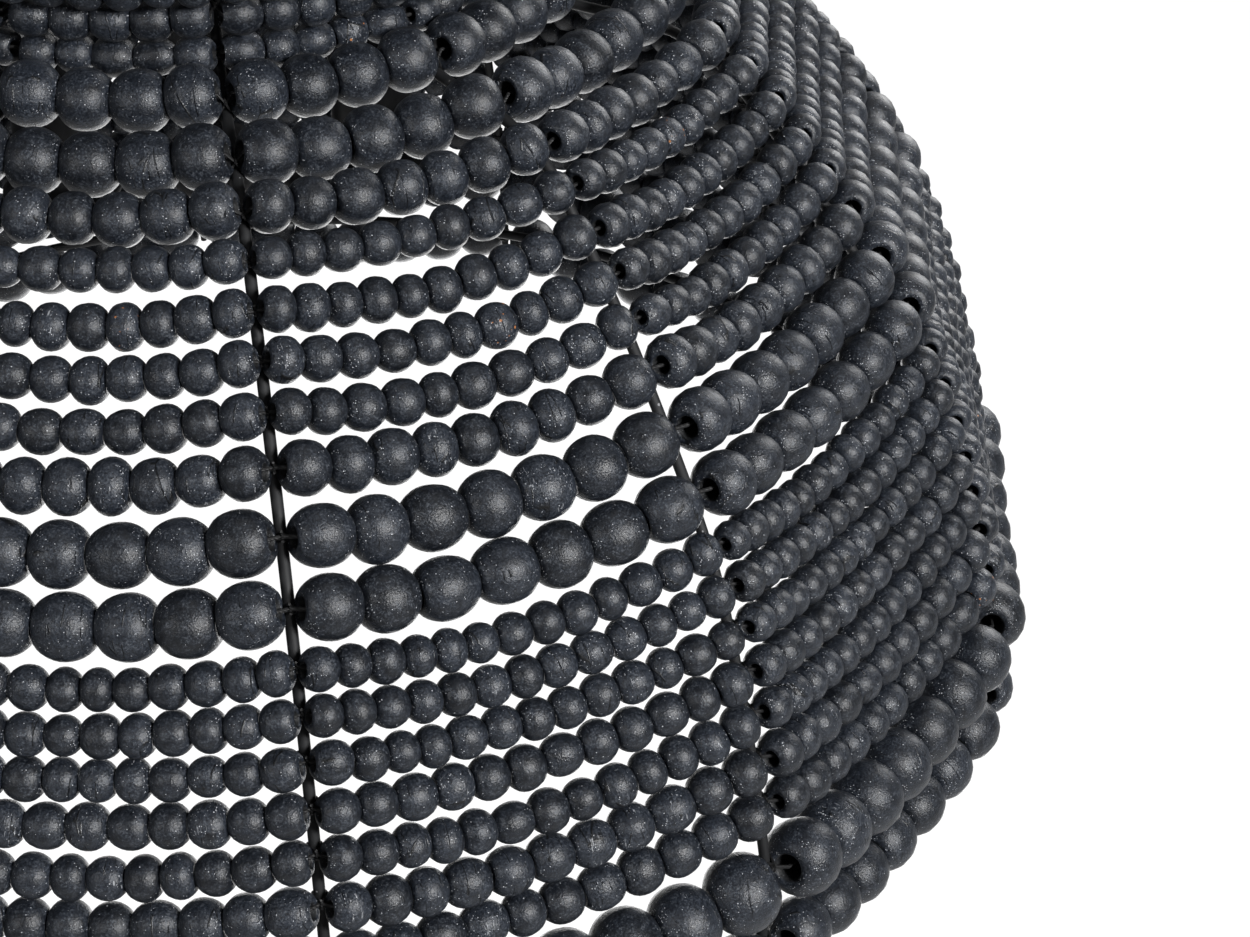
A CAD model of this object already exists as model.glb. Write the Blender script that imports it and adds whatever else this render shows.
"""Beaded chandelier: strands of matt black wooden beads round a cage of bent rods, hung from a ceiling canopy.

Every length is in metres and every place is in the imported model's frame: +Z up, the origin on the ceiling, the
first rib at the front (-Y) and +X to the right. The rows' places and the metalwork's sizes come from the frame.
"""

import logging
import math
from dataclasses import dataclass, field
from enum import Enum

import bpy
import numpy as np
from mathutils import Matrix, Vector


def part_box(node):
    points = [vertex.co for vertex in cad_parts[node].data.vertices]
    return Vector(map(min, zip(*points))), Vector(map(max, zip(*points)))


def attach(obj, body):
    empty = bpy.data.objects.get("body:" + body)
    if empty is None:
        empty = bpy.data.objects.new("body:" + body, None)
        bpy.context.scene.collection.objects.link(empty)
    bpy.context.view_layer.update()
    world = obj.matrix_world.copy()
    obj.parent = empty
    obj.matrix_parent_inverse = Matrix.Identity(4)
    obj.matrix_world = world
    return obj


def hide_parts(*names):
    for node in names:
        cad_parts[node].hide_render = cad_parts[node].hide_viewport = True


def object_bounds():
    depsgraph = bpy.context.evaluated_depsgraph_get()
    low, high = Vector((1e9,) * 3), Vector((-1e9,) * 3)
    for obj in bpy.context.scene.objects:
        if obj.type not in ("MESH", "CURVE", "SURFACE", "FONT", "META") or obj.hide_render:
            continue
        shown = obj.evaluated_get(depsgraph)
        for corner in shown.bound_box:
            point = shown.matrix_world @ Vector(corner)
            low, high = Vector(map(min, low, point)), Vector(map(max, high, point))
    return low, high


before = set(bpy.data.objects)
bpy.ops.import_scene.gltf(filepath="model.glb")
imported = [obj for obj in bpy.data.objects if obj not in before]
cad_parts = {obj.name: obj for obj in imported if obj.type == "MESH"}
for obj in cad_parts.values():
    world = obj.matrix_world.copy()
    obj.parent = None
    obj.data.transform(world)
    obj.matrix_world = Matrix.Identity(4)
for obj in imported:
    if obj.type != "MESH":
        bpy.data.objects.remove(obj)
CAD_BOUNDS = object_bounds()

LOG = logging.getLogger("chandelier")
MM = 0.001
SEED = 4107
TURN = 2 * math.pi
AXIS_RADIUS = 0.02 * MM
Outline = list[tuple[float, float]]  # pairs of radius and height


class Slot(Enum):
    """The record's material slots that new pieces take their finish from."""

    BEADS = "beads"
    CORD = "cord"
    IRON = "iron"
    SLEEVE = "candle_sleeve"
    PORCELAIN = "porcelain"
    BULB = "bulb"


class Shader:
    """A material or node group in the making."""

    def __init__(self, tree: bpy.types.NodeTree) -> None:
        """Start from an empty tree."""
        self.tree = tree
        self.tree.nodes.clear()

    def add(self, kind: str, inputs: dict | None = None, **settings: object) -> bpy.types.Node:
        """Add a node.

        Args:
            kind: The node's type, without its ShaderNode prefix.
            inputs: Values or output sockets by input name or number.
            settings: Properties of the node itself.

        Returns:
            The new node.
        """
        prefix = "" if kind.startswith("NodeGroup") else "ShaderNode"
        node = self.tree.nodes.new(prefix + kind)
        for name, value in settings.items():
            setattr(node, name, value)
        for name, value in (inputs or {}).items():
            self.feed(node, name, value)
        return node

    def feed(self, node: bpy.types.Node, name: str | int, value: object) -> None:
        """Set an input to a value, or link it to an output socket.

        Args:
            node: The node.
            name: The input's name or number.
            value: The value or the output socket.
        """
        if isinstance(value, bpy.types.NodeSocket):
            self.tree.links.new(value, node.inputs[name])
        else:
            node.inputs[name].default_value = value

    def place(self) -> bpy.types.NodeSocket:
        """Give the place on the object itself, in metres."""
        return self.add("TexCoord").outputs["Object"]

    def noise(self, place: bpy.types.NodeSocket, size: float, detail: float = 2.0) -> bpy.types.NodeSocket:
        """Give the factor of a noise whose lumps are about as large as size.

        Args:
            place: The coordinates, in metres.
            size: The lumps' size in metres.
            detail: How many finer layers lie over the lumps.

        Returns:
            The factor's socket.
        """
        node = self.add("TexNoise", {"Vector": place, "Scale": 1 / size, "Detail": detail, "Roughness": 0.6})
        return node.outputs[0]

    def math(self, operation: str, first: object, second: object) -> bpy.types.NodeSocket:
        """Give the result of a sum on two values or sockets."""
        return self.add("Math", {0: first, 1: second}, operation=operation).outputs[0]

    def ramp(self, value: object, low: float, high: float, to_low: float = 0.0, to_high: float = 1.0
             ) -> bpy.types.NodeSocket:
        """Stretch a value from one range to another, and hold it at the ends.

        Args:
            value: The socket to stretch.
            low: Where the first range starts.
            high: Where the first range ends.
            to_low: What low becomes.
            to_high: What high becomes.

        Returns:
            The result's socket.
        """
        node = self.add("MapRange", {"Value": value, "From Min": low, "From Max": high, "To Min": to_low,
                                     "To Max": to_high})
        return node.outputs[0]

    def blend(self, share: object, first: object, second: object) -> bpy.types.NodeSocket:
        """Give a colour between two colours or sockets."""
        node = self.add("Mix", {0: share, 6: first, 7: second}, data_type="RGBA")
        return node.outputs[2]

    def effect(self, effect: "Effect", inputs: dict) -> bpy.types.Node:
        """Place a shared effect's node group."""
        return self.add("Group", inputs, node_tree=effect.group())

    def grain(self, place: bpy.types.NodeSocket, per_metre: float) -> tuple[bpy.types.NodeSocket, ...]:
        """Place the shared fine grain, and give its patches and its relief."""
        node = self.effect(FineGrain(), {"Place": place, "Grains per metre": per_metre})
        return node.outputs["Patches"], node.outputs["Relief"]

    def bump(self, bsdf: bpy.types.Node, height: object, strength: float, depth: float) -> None:
        """Give a surface its relief.

        Args:
            bsdf: The surface.
            height: The socket of the relief's height, from 0 to about 1.
            strength: How much of the relief shows.
            depth: The relief's depth in metres.
        """
        node = self.add("Bump", {"Strength": strength, "Distance": depth, "Height": height})
        self.feed(bsdf, "Normal", node.outputs[0])


class Effect:
    """A shared effect, built once as a node group."""

    name = ""
    inputs: tuple[tuple[str, str, object], ...] = ()
    outputs: tuple[tuple[str, str], ...] = ()

    def group(self) -> bpy.types.NodeTree:
        """Give the effect's node group, and build it at the first call.

        Returns:
            The node group.
        """
        known = bpy.data.node_groups.get(self.name)
        if known:
            return known
        tree = bpy.data.node_groups.new(self.name, "ShaderNodeTree")
        for name, kind, value in self.inputs:
            socket = tree.interface.new_socket(name=name, in_out="INPUT", socket_type=f"NodeSocket{kind}")
            if value is not None:
                socket.default_value = value
        for name, kind in self.outputs:
            tree.interface.new_socket(name=name, in_out="OUTPUT", socket_type=f"NodeSocket{kind}")
        shader = Shader(tree)
        self.build(shader, shader.add("NodeGroupInput"), shader.add("NodeGroupOutput"))
        return tree

    def build(self, shader: Shader, start: bpy.types.Node, end: bpy.types.Node) -> None:
        """Fill the group between its input and output nodes."""
        raise NotImplementedError


class DustSpecks(Effect):
    """Fine pale specks of dust and chipped finish, in drifts."""

    name = "Dust specks"
    inputs = (("Place", "Vector", None), ("Cells per metre", "Float", 900.0), ("Cover", "Float", 0.3))
    outputs = (("Mask", "Float"),)
    smallest_share, largest_share = 0.16, 0.40
    drift_size = 4 * MM

    def build(self, shader: Shader, start: bpy.types.Node, end: bpy.types.Node) -> None:
        """Put at most one speck in each cell, and keep those that lie in a drift.

        Args:
            shader: The group in the making.
            start: The group's input node.
            end: The group's output node.
        """
        place = start.outputs["Place"]
        cells = shader.add("TexVoronoi", {"Vector": place, "Scale": start.outputs["Cells per metre"]})
        chance = shader.add("SeparateColor", {0: cells.outputs["Color"]})
        size = shader.ramp(chance.outputs[0], 0.0, 1.0, self.smallest_share, self.largest_share)
        dot = shader.ramp(shader.math("DIVIDE", cells.outputs["Distance"], size), 0.6, 1.0, 1.0, 0.0)
        drift = shader.ramp(shader.noise(place, self.drift_size, 3.0), 0.40, 0.68)
        kept = shader.math("LESS_THAN", chance.outputs[1], shader.math("MULTIPLY", drift, start.outputs["Cover"]))
        shader.feed(end, "Mask", shader.math("MULTIPLY", dot, kept))


class FineGrain(Effect):
    """Small unevenness of a finish: wide patches for its colour and roughness, and fine grains for its relief."""

    name = "Fine grain"
    inputs = (("Place", "Vector", None), ("Grains per metre", "Float", 1500.0))
    outputs = (("Patches", "Float"), ("Relief", "Float"))
    patch_size = 9 * MM

    def build(self, shader: Shader, start: bpy.types.Node, end: bpy.types.Node) -> None:
        """Make the patches and the grains.

        Args:
            shader: The group in the making.
            start: The group's input node.
            end: The group's output node.
        """
        place = start.outputs["Place"]
        grain = shader.add("TexNoise", {"Vector": place, "Scale": start.outputs["Grains per metre"], "Detail": 3.0,
                                        "Roughness": 0.65})
        shader.feed(end, "Patches", shader.ramp(shader.noise(place, self.patch_size, 3.0), 0.3, 0.7))
        shader.feed(end, "Relief", grain.outputs[0])


class Finish:
    """A finish that a piece's material is made from."""

    name = "finish"

    def material(self) -> bpy.types.Material:
        """Give the finish's material, and build it at the first call.

        Returns:
            The material.
        """
        known = bpy.data.materials.get(self.name)
        if known:
            return known
        material = bpy.data.materials.new(self.name)
        material.use_nodes = True
        shader = Shader(material.node_tree)
        bsdf = shader.add("BsdfPrincipled")
        shader.add("OutputMaterial", {"Surface": bsdf.outputs[0]})
        self.build(shader, bsdf)
        return material

    def build(self, shader: Shader, bsdf: bpy.types.Node) -> None:
        """Dress the surface."""
        raise NotImplementedError


@dataclass(frozen=True)
class StainedWood(Finish):
    """Matt black stained wood of the beads, with open pores, hairline cracks, dust and rare chips.

    A size is the width of a pore, cloud, ring or field in metres, and cells are counted per metre.
    """

    name = "stained_wood"
    dark: tuple = (0.0040, 0.0052, 0.0078, 1)
    pale: tuple = (0.0230, 0.0288, 0.0405, 1)
    worn: tuple = (0.085, 0.094, 0.108, 1)
    dust: tuple = (0.52, 0.54, 0.57, 1)
    chip: tuple = (0.42, 0.17, 0.06, 1)
    hole: tuple = (0.003, 0.003, 0.003, 1)
    pore_size: float = 0.7 * MM
    cloud_size: float = 3.2 * MM
    ring_size: float = 0.6 * MM
    ring_stretch: tuple = (0.16, 0.16, 1.0)
    crack_cells: float = 190.0
    crack_field: float = 6 * MM
    grit_cells: float = 1600.0
    scuff_field: float = 4 * MM
    flake_cells: float = 620.0
    grains: float = 1900.0
    relief_depth: float = 0.17 * MM

    def stain(self, shader: Shader, tone: object, pores: object, clouds: object, rings: object
              ) -> bpy.types.NodeSocket:
        """Mix the stain's colour.

        Args:
            shader: The material in the making.
            tone: The bead's own tone, from 0 to 1.
            pores: The noise of the pores.
            clouds: The noise of the wide unevenness.
            rings: The noise of the year rings.

        Returns:
            The colour's socket.
        """
        shade = shader.math("ADD", shader.math("MULTIPLY", tone, 0.35), shader.math("MULTIPLY", clouds, 1.3))
        wood = shader.blend(shader.ramp(shade, 0.50, 1.12), self.dark, self.pale)
        wood = shader.blend(shader.ramp(pores, 0.36, 0.48, 0.85, 0.0), wood, self.dark)
        wood = shader.blend(shader.ramp(rings, 0.28, 0.44, 0.5, 0.0), wood, self.dark)
        rubbed = shader.math("MULTIPLY", shader.ramp(pores, 0.53, 0.66), shader.ramp(clouds, 0.42, 0.60, 0.15, 0.75))
        return shader.blend(rubbed, wood, self.worn)

    def build(self, shader: Shader, bsdf: bpy.types.Node) -> None:
        """Dress the surface from each bead's own place, tone, nearness to its edge and depth in its hole.

        Args:
            shader: The material in the making.
            bsdf: Its surface.
        """
        place = shader.add("Attribute", attribute_name="bead_place").outputs["Vector"]
        tone, inside, edge = [shader.add("Attribute", attribute_name=f"bead_{value}").outputs["Fac"]
                              for value in ("tone", "hole", "edge")]
        across = shader.add("Mapping", {"Vector": place, "Scale": self.ring_stretch}).outputs[0]
        pores = shader.noise(place, self.pore_size)
        clouds = shader.noise(place, self.cloud_size, 4.0)
        rings = shader.noise(across, self.ring_size)
        wood = self.stain(shader, tone, pores, clouds, rings)

        lines = shader.add("TexVoronoi", {"Vector": across, "Scale": self.crack_cells}, feature="DISTANCE_TO_EDGE")
        near = shader.ramp(lines.outputs[0], 0.0, 0.03, 1.0, 0.0)
        field_of_cracks = shader.ramp(shader.noise(place, self.crack_field, 1.0), 0.53, 0.57)
        cracks = shader.math("MULTIPLY", shader.math("MULTIPLY", near, field_of_cracks), shader.ramp(tone, 0.55, 0.6))
        wood = shader.blend(cracks, wood, self.hole)

        cover = shader.math("ADD", shader.ramp(edge, 0.45, 1.0, 0.08, 0.80), shader.ramp(tone, 0.4, 1.0, 0.0, 0.28))
        grit = shader.effect(DustSpecks(), {"Place": place, "Cells per metre": self.grit_cells, "Cover": cover})
        grit = grit.outputs[0]
        wood = shader.blend(shader.math("MULTIPLY", grit, 0.9), wood, self.dust)
        scuffs = shader.math("MULTIPLY", shader.ramp(rings, 0.62, 0.67), shader.ramp(tone, 0.88, 0.92))
        scuffs = shader.math("MULTIPLY", scuffs, shader.ramp(shader.noise(place, self.scuff_field), 0.52, 0.58))
        wood = shader.blend(shader.math("MULTIPLY", scuffs, 0.5), wood, self.dust)
        few = shader.ramp(tone, 0.980, 0.990, 0.0, 0.4)
        flakes = shader.effect(DustSpecks(), {"Place": place, "Cells per metre": self.flake_cells, "Cover": few})
        wood = shader.blend(flakes.outputs[0], wood, self.chip)
        shader.feed(bsdf, "Base Color", shader.blend(inside, wood, self.hole))

        rough = shader.ramp(shader.math("ADD", shader.math("MULTIPLY", clouds, 0.5), pores), 0.5, 1.0, 0.30, 0.47)
        shader.feed(bsdf, "Roughness", shader.math("ADD", rough, shader.math("MULTIPLY", inside, 0.3)))
        relief = shader.math("ADD", pores, shader.math("MULTIPLY", rings, 0.45))
        grain = shader.grain(place, self.grains)[1]
        relief = shader.math("ADD", relief, shader.math("MULTIPLY", grain, 0.8))
        relief = shader.math("SUBTRACT", relief, shader.math("MULTIPLY", cracks, 1.2))
        relief = shader.math("ADD", relief, shader.math("MULTIPLY", grit, 0.4))
        shader.bump(bsdf, relief, 0.9, self.relief_depth)


@dataclass(frozen=True)
class PowderCoat(Finish):
    """Matt black powder coat on the rods, chain and canopy."""

    name = "powder_coat"
    dark: tuple = (0.0060, 0.0064, 0.0074, 1)
    pale: tuple = (0.0110, 0.0116, 0.0130, 1)
    dust: tuple = (0.25, 0.25, 0.26, 1)
    grains: float = 1700.0
    speck_cells: float = 700.0

    def build(self, shader: Shader, bsdf: bpy.types.Node) -> None:
        """Dress the surface with the coat's fine orange peel and a little dust.

        Args:
            shader: The material in the making.
            bsdf: Its surface.
        """
        place = shader.place()
        patches, relief = shader.grain(place, self.grains)
        specks = shader.effect(DustSpecks(), {"Place": place, "Cells per metre": self.speck_cells, "Cover": 0.08})
        paint = shader.blend(patches, self.dark, self.pale)
        shader.feed(bsdf, "Base Color", shader.blend(specks.outputs[0], paint, self.dust))
        shader.feed(bsdf, "Roughness", shader.ramp(patches, 0.0, 1.0, 0.62, 0.76))
        shader.bump(bsdf, relief, 0.5, 0.06 * MM)


@dataclass(frozen=True)
class WaxedCord(Finish):
    """Waxed black cord, laid from twisted yarns."""

    name = "waxed_cord"
    dark: tuple = (0.006, 0.006, 0.0065, 1)
    pale: tuple = (0.012, 0.012, 0.013, 1)
    yarns_per_metre: float = 380.0

    def build(self, shader: Shader, bsdf: bpy.types.Node) -> None:
        """Dress the surface with the slanting yarns.

        Args:
            shader: The material in the making.
            bsdf: Its surface.
        """
        yarns = shader.add("TexWave", {"Vector": shader.place(), "Scale": self.yarns_per_metre, "Distortion": 3.0,
                                       "Detail": 2.0}, bands_direction="DIAGONAL").outputs[1]
        shader.feed(bsdf, "Base Color", shader.blend(yarns, self.dark, self.pale))
        shader.feed(bsdf, "Roughness", shader.ramp(yarns, 0.0, 1.0, 0.75, 0.55))
        shader.bump(bsdf, yarns, 0.7, 0.12 * MM)


@dataclass(frozen=True)
class SatinSleeve(Finish):
    """Satin black finish of the candle sleeves."""

    name = "satin_sleeve"
    dark: tuple = (0.010, 0.010, 0.011, 1)
    pale: tuple = (0.022, 0.022, 0.024, 1)
    draw_stretch: tuple = (1.0, 1.0, 0.06)
    line_size: float = 0.8 * MM
    grains: float = 2400.0

    def build(self, shader: Shader, bsdf: bpy.types.Node) -> None:
        """Dress the surface with the faint draw lines of a moulded tube.

        Args:
            shader: The material in the making.
            bsdf: Its surface.
        """
        place = shader.place()
        drawn = shader.add("Mapping", {"Vector": place, "Scale": self.draw_stretch}).outputs[0]
        lines = shader.noise(drawn, self.line_size)
        patches = shader.grain(place, self.grains)[0]
        shader.feed(bsdf, "Base Color", shader.blend(lines, self.dark, self.pale))
        shader.feed(bsdf, "Roughness", shader.ramp(patches, 0.0, 1.0, 0.32, 0.42))
        shader.bump(bsdf, lines, 0.3, 0.05 * MM)


@dataclass(frozen=True)
class GlazedPorcelain(Finish):
    """Glazed off-white porcelain of the lamp sockets."""

    name = "glazed_porcelain"
    pale: tuple = (0.74, 0.72, 0.67, 1)
    warm: tuple = (0.66, 0.62, 0.55, 1)
    grains: float = 600.0

    def build(self, shader: Shader, bsdf: bpy.types.Node) -> None:
        """Dress the surface with the glaze's slow change of tone.

        Args:
            shader: The material in the making.
            bsdf: Its surface.
        """
        patches, relief = shader.grain(shader.place(), self.grains)
        shader.feed(bsdf, "Base Color", shader.blend(patches, self.pale, self.warm))
        shader.feed(bsdf, "Roughness", shader.ramp(patches, 0.0, 1.0, 0.12, 0.22))
        shader.bump(bsdf, relief, 0.2, 0.05 * MM)


@dataclass(frozen=True)
class BrightMetal(Finish):
    """Nickel-plated brass of the bulb caps and contacts, or the tungsten of the filaments."""

    name: str = "bright_metal"
    pale: tuple = (0.62, 0.60, 0.55, 1)
    dark: tuple = (0.42, 0.39, 0.33, 1)
    shine: float = 0.26
    grains: float = 900.0

    def build(self, shader: Shader, bsdf: bpy.types.Node) -> None:
        """Dress the surface with the metal's uneven polish.

        Args:
            shader: The material in the making.
            bsdf: Its surface.
        """
        patches, relief = shader.grain(shader.place(), self.grains)
        shader.feed(bsdf, "Base Color", shader.blend(patches, self.pale, self.dark))
        shader.feed(bsdf, "Metallic", 1.0)
        shader.feed(bsdf, "Roughness", shader.ramp(relief, 0.2, 0.8, self.shine, self.shine + 0.12))


@dataclass(frozen=True)
class ClearGlass(Finish):
    """Clear glass of the bulbs, with the faint unevenness of blown glass."""

    name = "clear_glass"
    bend: float = 1.47
    grains: float = 160.0

    def build(self, shader: Shader, bsdf: bpy.types.Node) -> None:
        """Dress the surface as clear glass.

        Args:
            shader: The material in the making.
            bsdf: Its surface.
        """
        patches, relief = shader.grain(shader.place(), self.grains)
        for name, value in (("Base Color", (1, 1, 1, 1)), ("Transmission Weight", 1.0), ("IOR", self.bend)):
            shader.feed(bsdf, name, value)
        shader.feed(bsdf, "Roughness", shader.ramp(patches, 0.0, 1.0, 0.0, 0.03))
        shader.bump(bsdf, relief, 0.08, 0.1 * MM)


def angles(steps: int) -> np.ndarray:
    """Give evenly spaced angles round a whole turn."""
    return np.arange(steps) * TURN / steps


def outward(index: int, count: int) -> np.ndarray:
    """Give the way outwards at one of evenly spaced places, counted from the front towards +X."""
    angle = index * TURN / count
    return np.array([math.sin(angle), -math.cos(angle), 0.0])


def raised(height: float) -> np.ndarray:
    """Give the point of the middle axis at a height."""
    return np.array([0.0, 0.0, height])


def smooth(points: np.ndarray | tuple, per_span: int) -> np.ndarray:
    """Lay a smooth curve through points.

    Args:
        points: The points, one a row.
        per_span: How many points each span gets.

    Returns:
        The curve's points.
    """
    points = np.asarray(points, float)
    knots = np.vstack([2 * points[:1] - points[1:2], points, 2 * points[-1:] - points[-2:-1]])
    step = np.linspace(0, 1, per_span, endpoint=False)[:, None]
    curve = []
    for before, start, end, after in zip(knots, knots[1:], knots[2:], knots[3:]):
        bend = 2 * before - 5 * start + 4 * end - after
        twist = 3 * start - before - 3 * end + after
        curve.append(0.5 * (2 * start + (end - before) * step + bend * step ** 2 + twist * step ** 3))
    return np.vstack([*curve, points[-1:]])


def eased(outline: Outline, ease: float, closed: bool = False, limit: float = 0.45) -> Outline:
    """Round the corners of an outline.

    Args:
        outline: The outline.
        ease: How far from the corner the rounding starts.
        closed: Whether the outline runs back to its first point.
        limit: The largest share of a side that a rounding takes.

    Returns:
        The outline with three points for each corner.
    """
    points = [np.array(point, float) for point in outline]
    result = []
    for index, point in enumerate(points):
        if not closed and index in (0, len(points) - 1):
            result.append(tuple(point))
            continue
        sides = [points[index - 1] - point, points[(index + 1) % len(points)] - point]
        start, end = [point + side * min(limit, ease / max(np.linalg.norm(side), ease)) for side in sides]
        result += [tuple(start), tuple((start + 2 * point + end) / 4), tuple(end)]
    return result


def scaled(shares: np.ndarray | tuple, radius: float, height: float, foot: float = 0.0) -> Outline:
    """Size an outline that is given in shares.

    Args:
        shares: Pairs of a share of the radius and one of the height.
        radius: The whole radius.
        height: The whole height.
        foot: Where the height starts.

    Returns:
        The outline.
    """
    return [(out * radius, foot + up * height) for out, up in shares]


def ring_path(radius: float, centre: Vector | np.ndarray, steps: int = 48, level: bool = False) -> np.ndarray:
    """Lay a ring.

    Args:
        radius: The ring's radius.
        centre: Its middle.
        steps: How many points it gets.
        level: Whether it lies in the XY plane, not in the XZ plane.

    Returns:
        The ring's points.
    """
    angle = angles(steps)
    across, other = radius * np.cos(angle), radius * np.sin(angle)
    parts = [across, other, 0 * angle] if level else [across, 0 * angle, other]
    return np.stack(parts, -1) + np.array(centre)


def thread(low: float, high: float, radius: float, pitch: float, depth: float) -> Outline:
    """Draw the outline of a screw thread as fine ridges.

    Args:
        low: Where the thread starts.
        high: Where it ends.
        radius: Its outer radius.
        pitch: The height of a ridge.
        depth: The depth of a groove.

    Returns:
        The outline, from the lowest up.
    """
    ridges = max(1, round((high - low) / pitch))
    step = (high - low) / ridges
    outline = [(radius - depth, low)]
    for ridge in range(ridges):
        foot = low + ridge * step
        outline += [(radius, foot + 0.4 * step), (radius, foot + 0.6 * step), (radius - depth, foot + step)]
    return outline


def place_object(name: str, data: bpy.types.ID) -> bpy.types.Object:
    """Make an object and link it to the scene.

    Args:
        name: Its name.
        data: Its mesh, light or camera.

    Returns:
        The object.
    """
    obj = bpy.data.objects.new(name, data)
    bpy.context.scene.collection.objects.link(obj)
    return obj


@dataclass
class Draft:
    """A mesh in the making."""

    points: list[np.ndarray] = field(default_factory=list)
    faces: list[list[int]] = field(default_factory=list)
    values: dict[str, list[np.ndarray]] = field(default_factory=dict)
    count: int = 0

    def add_grid(self, rings: np.ndarray, closed: bool = False, **values: np.ndarray) -> None:
        """Add a skin over rings of points, with a face over each open end.

        Args:
            rings: The points, by ring and place round it.
            closed: Whether the last ring joins the first.
            values: Named values for each point.
        """
        amount, around = rings.shape[:2]
        ring = np.arange(amount if closed else amount - 1)[:, None]
        side = np.arange(around)[None, :]
        here, ahead, beside = ring * around, (ring + 1) % amount * around, (side + 1) % around
        quads = np.stack([here + side, here + beside, ahead + beside, ahead + side], -1).reshape(-1, 4)
        self.faces += (quads + self.count).tolist()
        if not closed:
            last = self.count + (amount - 1) * around
            self.faces.append(list(range(self.count, self.count + around))[::-1])
            self.faces.append(list(range(last, last + around)))
        self.points.append(rings.reshape(-1, 3))
        for name, value in values.items():
            self.values.setdefault(name, []).append(value.reshape(amount * around, -1))
        self.count += amount * around

    def turn(self, outline: Outline, at: Vector | np.ndarray | tuple = (0, 0, 0), steps: int = 48,
             closed: bool = False) -> None:
        """Add a turned form about an upright axis.

        Args:
            outline: The outline, from the lowest up.
            at: A point on the axis, at height zero of the outline.
            steps: How many faces go round.
            closed: Whether the outline runs back to its first point.
        """
        angle = angles(steps)
        radius, height = np.array(outline, float).T[..., None]
        radius = np.maximum(radius, AXIS_RADIUS)
        rings = np.stack([radius * np.cos(angle), radius * np.sin(angle), height + 0 * angle], -1)
        self.add_grid(rings + np.array(at), closed)

    def rod(self, path: np.ndarray, radius: float | np.ndarray, sides: int = 14, closed: bool = False) -> None:
        """Add a round rod along a path.

        Args:
            path: The points of its centre line.
            radius: The rod's radius, or one for each point.
            sides: How many faces go round.
            closed: Whether the rod's end meets its start.
        """
        run = np.roll(path, -1, 0) - np.roll(path, 1, 0) if closed else np.gradient(path, axis=0)
        run /= np.linalg.norm(run, axis=1)[:, None]
        side = np.cross(run[0], (0.0, 0.0, 1.0) if abs(run[0][2]) < 0.9 else (0.0, 1.0, 0.0))
        angle = angles(sides)[:, None]
        rings = []
        for point, way, size in zip(path, run, np.broadcast_to(radius, len(path))):
            side = side - way * side.dot(way)
            side /= np.linalg.norm(side)
            rings.append(point + size * (np.cos(angle) * side + np.sin(angle) * np.cross(way, side)))
        self.add_grid(np.array(rings), closed)

    def piece(self, name: str, finish: Finish, slot: Slot, node: str = "", body: str = "shade", sharp: float = 40.0
              ) -> bpy.types.Object:
        """Make the object.

        Args:
            name: The piece's name.
            finish: What it is finished with.
            slot: The record's slot that its finish belongs to.
            node: The CAD node that it stands for, if any.
            body: The body that it rides on.
            sharp: Edges that turn more than this many degrees stay sharp.

        Returns:
            The object, linked to the scene.
        """
        mesh = bpy.data.meshes.new(name)
        mesh.from_pydata(np.vstack(self.points).tolist(), [], self.faces)
        for value_name, parts in self.values.items():
            value = np.vstack(parts)
            kind, key = ("FLOAT_VECTOR", "vector") if value.shape[1] == 3 else ("FLOAT", "value")
            mesh.attributes.new(value_name, kind, "POINT").data.foreach_set(key, value.ravel())
        mesh.shade_smooth()
        mesh.set_sharp_from_angle(angle=math.radians(sharp))
        mesh.materials.append(finish.material())
        obj = place_object(name, mesh)
        if node:
            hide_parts(node)
        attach(obj, body)
        return obj


def node_points(node: str) -> np.ndarray:
    """Give the corners of a CAD node's mesh.

    Args:
        node: The node's name.

    Returns:
        The corners, one a row.
    """
    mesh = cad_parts[node].data
    points = np.empty(len(mesh.vertices) * 3)
    mesh.vertices.foreach_get("co", points)
    return points.reshape(-1, 3)


def middle(node: str) -> Vector:
    """Give the middle of a CAD node's box."""
    return sum(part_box(node), Vector()) / 2


@dataclass(frozen=True)
class Row:
    """A row of beads round the shade.

    Attributes:
        node: Its CAD node.
        bead: Its beads' height.
        per_bay: How many beads lie between two ribs.
        hang: How far it hangs between two ribs, as a share of the way from one to the other.
        spread: How much its beads differ from one another.
        fill: The share of the cord between two ribs that its beads cover.
    """

    node: str
    bead: float
    per_bay: int
    hang: float
    spread: float = 0.07
    fill: float = 0.985


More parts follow.
